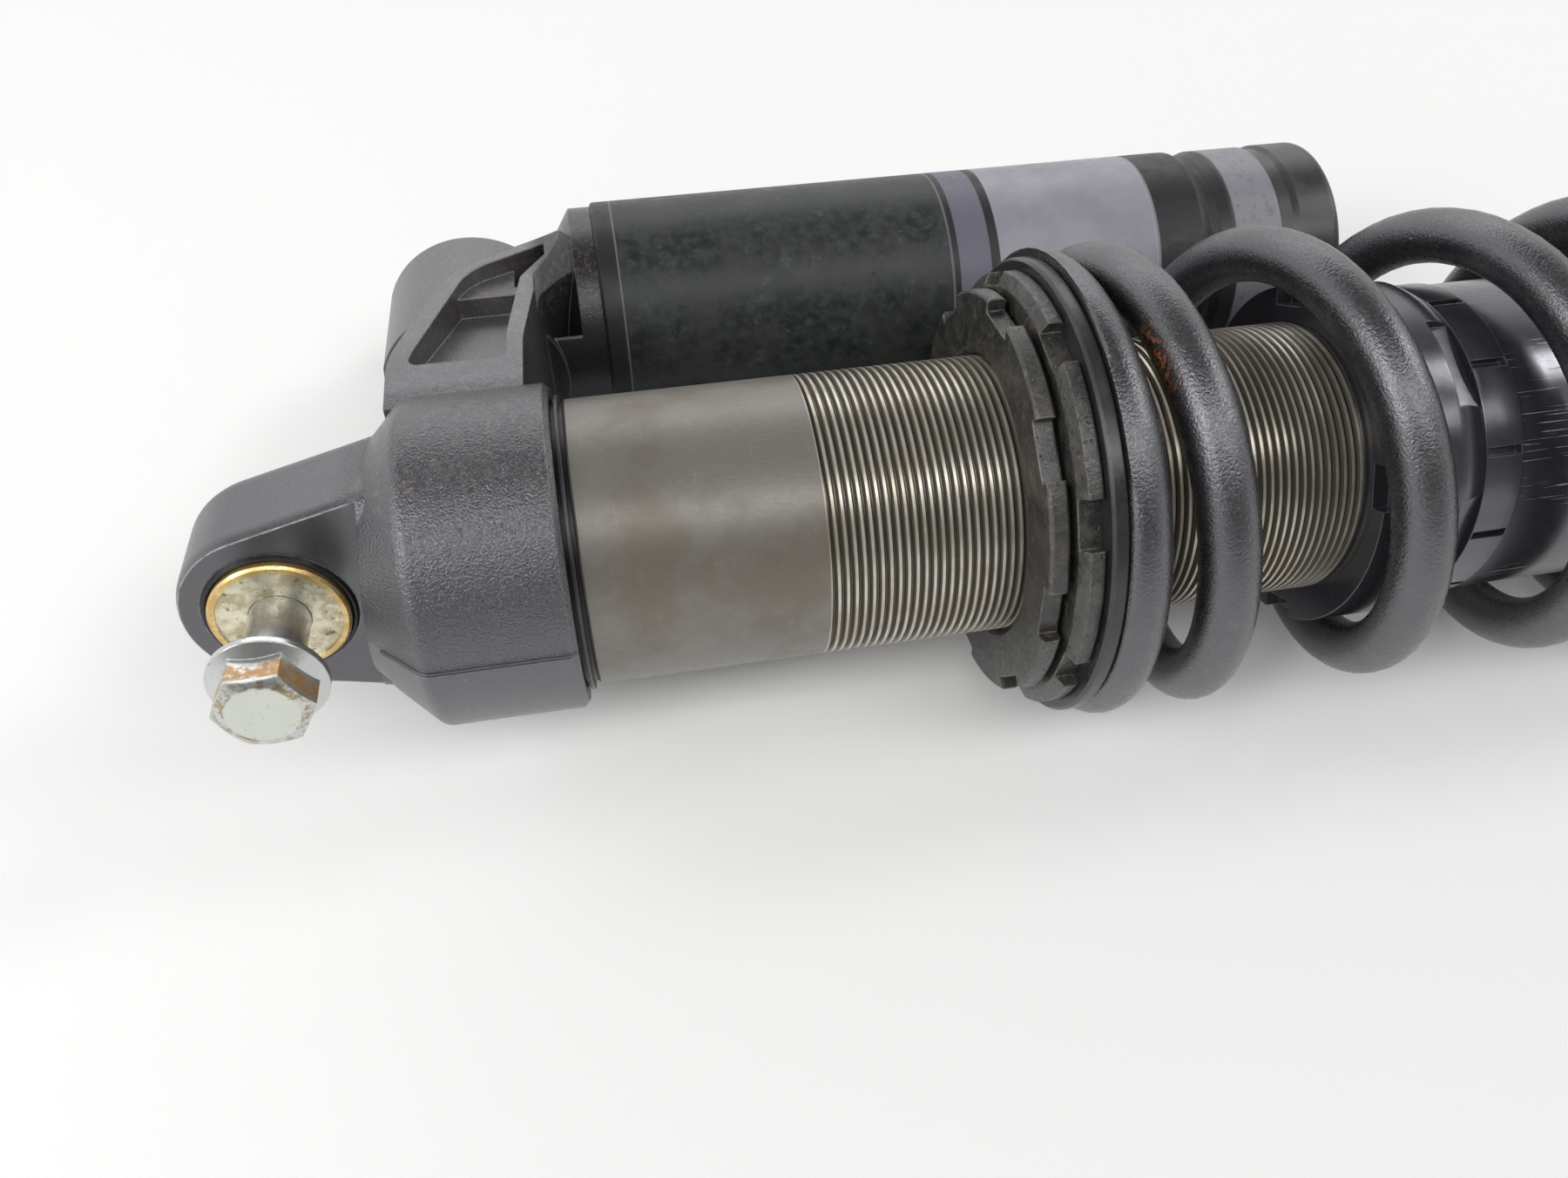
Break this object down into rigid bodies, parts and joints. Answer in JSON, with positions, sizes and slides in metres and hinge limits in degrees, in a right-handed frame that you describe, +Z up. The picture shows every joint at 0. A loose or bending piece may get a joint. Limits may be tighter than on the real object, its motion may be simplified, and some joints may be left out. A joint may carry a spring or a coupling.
{
  "type": "motorcycle rear shock absorber",
  "caption": "Coil-over rear shock absorber with a piggyback reservoir, dual springs on a crossover sleeve, threaded preload rings and eye mounts, lying on its side.",
  "frame": {"origin": "on the floor under the middle of the object's box as it lies on its springs and its reservoir", "axes": "+X runs down the damper from the upper eye to the lower eye, +Y points to the reservoir's side, +Z is up"},
  "size_m": [0.61, 0.135, 0.0874],
  "materials": {
    "casting": "black epoxy-coated die casting, orange-peel texture",
    "bare_alloy": "machined",
    "ptfe_bronze": "PTFE-lined bronze",
    "rubber": "moulded rubber",
    "zinc_yellow": "hardened steel, yellow zinc, worn",
    "zinc_bright": "bright zinc, slightly rusty",
    "body_anodised": "satin hard-anodised, olive grey",
    "reservoir_black": "satin black anodised with a mottled film",
    "grey_band": "satin grey",
    "black_plastic": "satin",
    "brass": "nickel-worn brass",
    "knob_alloy": "anodised",
    "ring_black": "black anodised, worn and dusty",
    "seat_black": "smooth black",
    "spring_black": "fine-grained black powder coat",
    "coupler_black": "black engineering plastic, scratched",
    "spring_steel": "spring steel",
    "chrome_rod": "hard chrome",
    "bump_foam": "micro-cellular foam"
  },
  "bodies": {
    "damper": {"upper_cap": "casting", "cap_seal_ring": "bare_alloy", "upper_bush": "ptfe_bronze", "upper_seals": "rubber", "body_tube": "body_anodised", "reservoir_tube": "reservoir_black", "head_o_ring": "rubber", "reservoir_plug": "grey_band", "plug_o_ring": "rubber", "reservoir_cover": "black_plastic", "gas_valve": "brass", "valve_cap": "black_plastic", "compression_valve": "bare_alloy", "tender_spring": "spring_black", "seal_head": "bare_alloy", "seal_head_o_ring": "rubber", "rod_bushing": "ptfe_bronze", "rod_seal": "rubber", "retaining_ring": "spring_steel", "dust_cap": "body_anodised", "rod_wiper": "rubber"},
    "seat": {"spring_seat": "seat_black"},
    "preload_nut": {"preload_ring": "ring_black"},
    "lock_nut": {"lock_ring": "ring_black"},
    "crossover": {"crossover_collar": "coupler_black", "coupler_sleeve": "coupler_black", "coupler_flange": "ring_black", "main_spring": "spring_black"},
    "gas_piston": {"floating_piston": "bare_alloy", "float_o_ring": "rubber"},
    "retainer": {"lower_retainer": "seat_black"},
    "shaft": {"rod": "chrome_rod", "rebound_rod": "bare_alloy", "piston": "bare_alloy", "piston_band": "ptfe_bronze", "compression_shims": "spring_steel", "rebound_shims": "spring_steel", "piston_nut": "spring_steel", "top_out_bumper": "rubber", "bump_stop": "bump_foam", "bump_cup": "bare_alloy", "lower_eye": "casting", "lower_bush": "ptfe_bronze", "lower_seals": "rubber"},
    "upper_pivot": {"upper_sleeve": "zinc_yellow"},
    "bolt": {"mounting_bolt": "zinc_bright"},
    "lower_pivot": {"lower_sleeve": "zinc_yellow"},
    "compression_clicker": {"compression_knob": "knob_alloy"},
    "rebound_clicker": {"rebound_knob": "knob_alloy"}
  },
  "joints": [
    {"name": "shaft_slide", "type": "slide", "parent": "damper", "child": "retainer", "axis": [-1, 0, 0], "range_m": [0, 0.16], "stiffness_N_per_m": 16000, "springref_m": -0.005, "deforming": ["tender_spring", "main_spring"]},
    {"name": "shaft_turn", "type": "hinge", "parent": "retainer", "child": "shaft", "pos_m": [0.2865, -0.02377, 0.04371], "axis": [1, 0, 0], "continuous": true},
    {"name": "crossover_slide", "type": "slide", "parent": "damper", "child": "crossover", "axis": [-1, 0, 0], "range_m": [0, 0.0448]},
    {"name": "gas_piston_slide", "type": "slide", "parent": "damper", "child": "gas_piston", "axis": [1, 0, 0], "range_m": [0, 0.02125]},
    {"name": "seat_slide", "type": "slide", "parent": "damper", "child": "seat", "axis": [-1, 0, 0], "range_m": [0, 0.01]},
    {"name": "preload_turn", "type": "hinge", "parent": "seat", "child": "preload_nut", "pos_m": [-0.1591, -0.02377, 0.04371], "axis": [-1, 0, 0], "range_deg": [0, 2399.99]},
    {"name": "lock_turn", "type": "hinge", "parent": "seat", "child": "lock_nut", "pos_m": [-0.1635, -0.02377, 0.04371], "axis": [-1, 0, 0], "range_deg": [0, 2400]},
    {"name": "upper_pivot_turn", "type": "hinge", "parent": "damper", "child": "upper_pivot", "pos_m": [-0.2885, -0.02377, 0.04371], "axis": [0, -0.9351, 0.3545], "continuous": true},
    {"name": "bolt_slide", "type": "slide", "parent": "upper_pivot", "child": "bolt", "axis": [0, -0.9351, 0.3545], "range_m": [-0.0138, 0.03]},
    {"name": "lower_pivot_turn", "type": "hinge", "parent": "shaft", "child": "lower_pivot", "pos_m": [0.2865, -0.02377, 0.04371], "axis": [0, -0.9351, 0.3545], "continuous": true},
    {"name": "compression_clicker_turn", "type": "hinge", "parent": "damper", "child": "compression_clicker", "pos_m": [-0.255, 0.04972, 0.02174], "axis": [0, -0.9351, 0.3545], "range_deg": [-360, 360]},
    {"name": "rebound_clicker_turn", "type": "hinge", "parent": "shaft", "child": "rebound_clicker", "pos_m": [0.2595, -0.02377, 0.04371], "axis": [0, -0.9351, 0.3545], "range_deg": [-360, 360]}
  ],
  "couplings": [
    {"joint": "crossover_slide", "follows": "shaft_slide", "ratio": 0.28},
    {"joint": "gas_piston_slide", "follows": "shaft_slide", "ratio": 0.1322},
    {"joint": "seat_slide", "follows": "preload_turn", "m_per_rad": 0.00023873},
    {"joint": "lock_turn", "follows": "preload_turn", "ratio": 1}
  ]
}
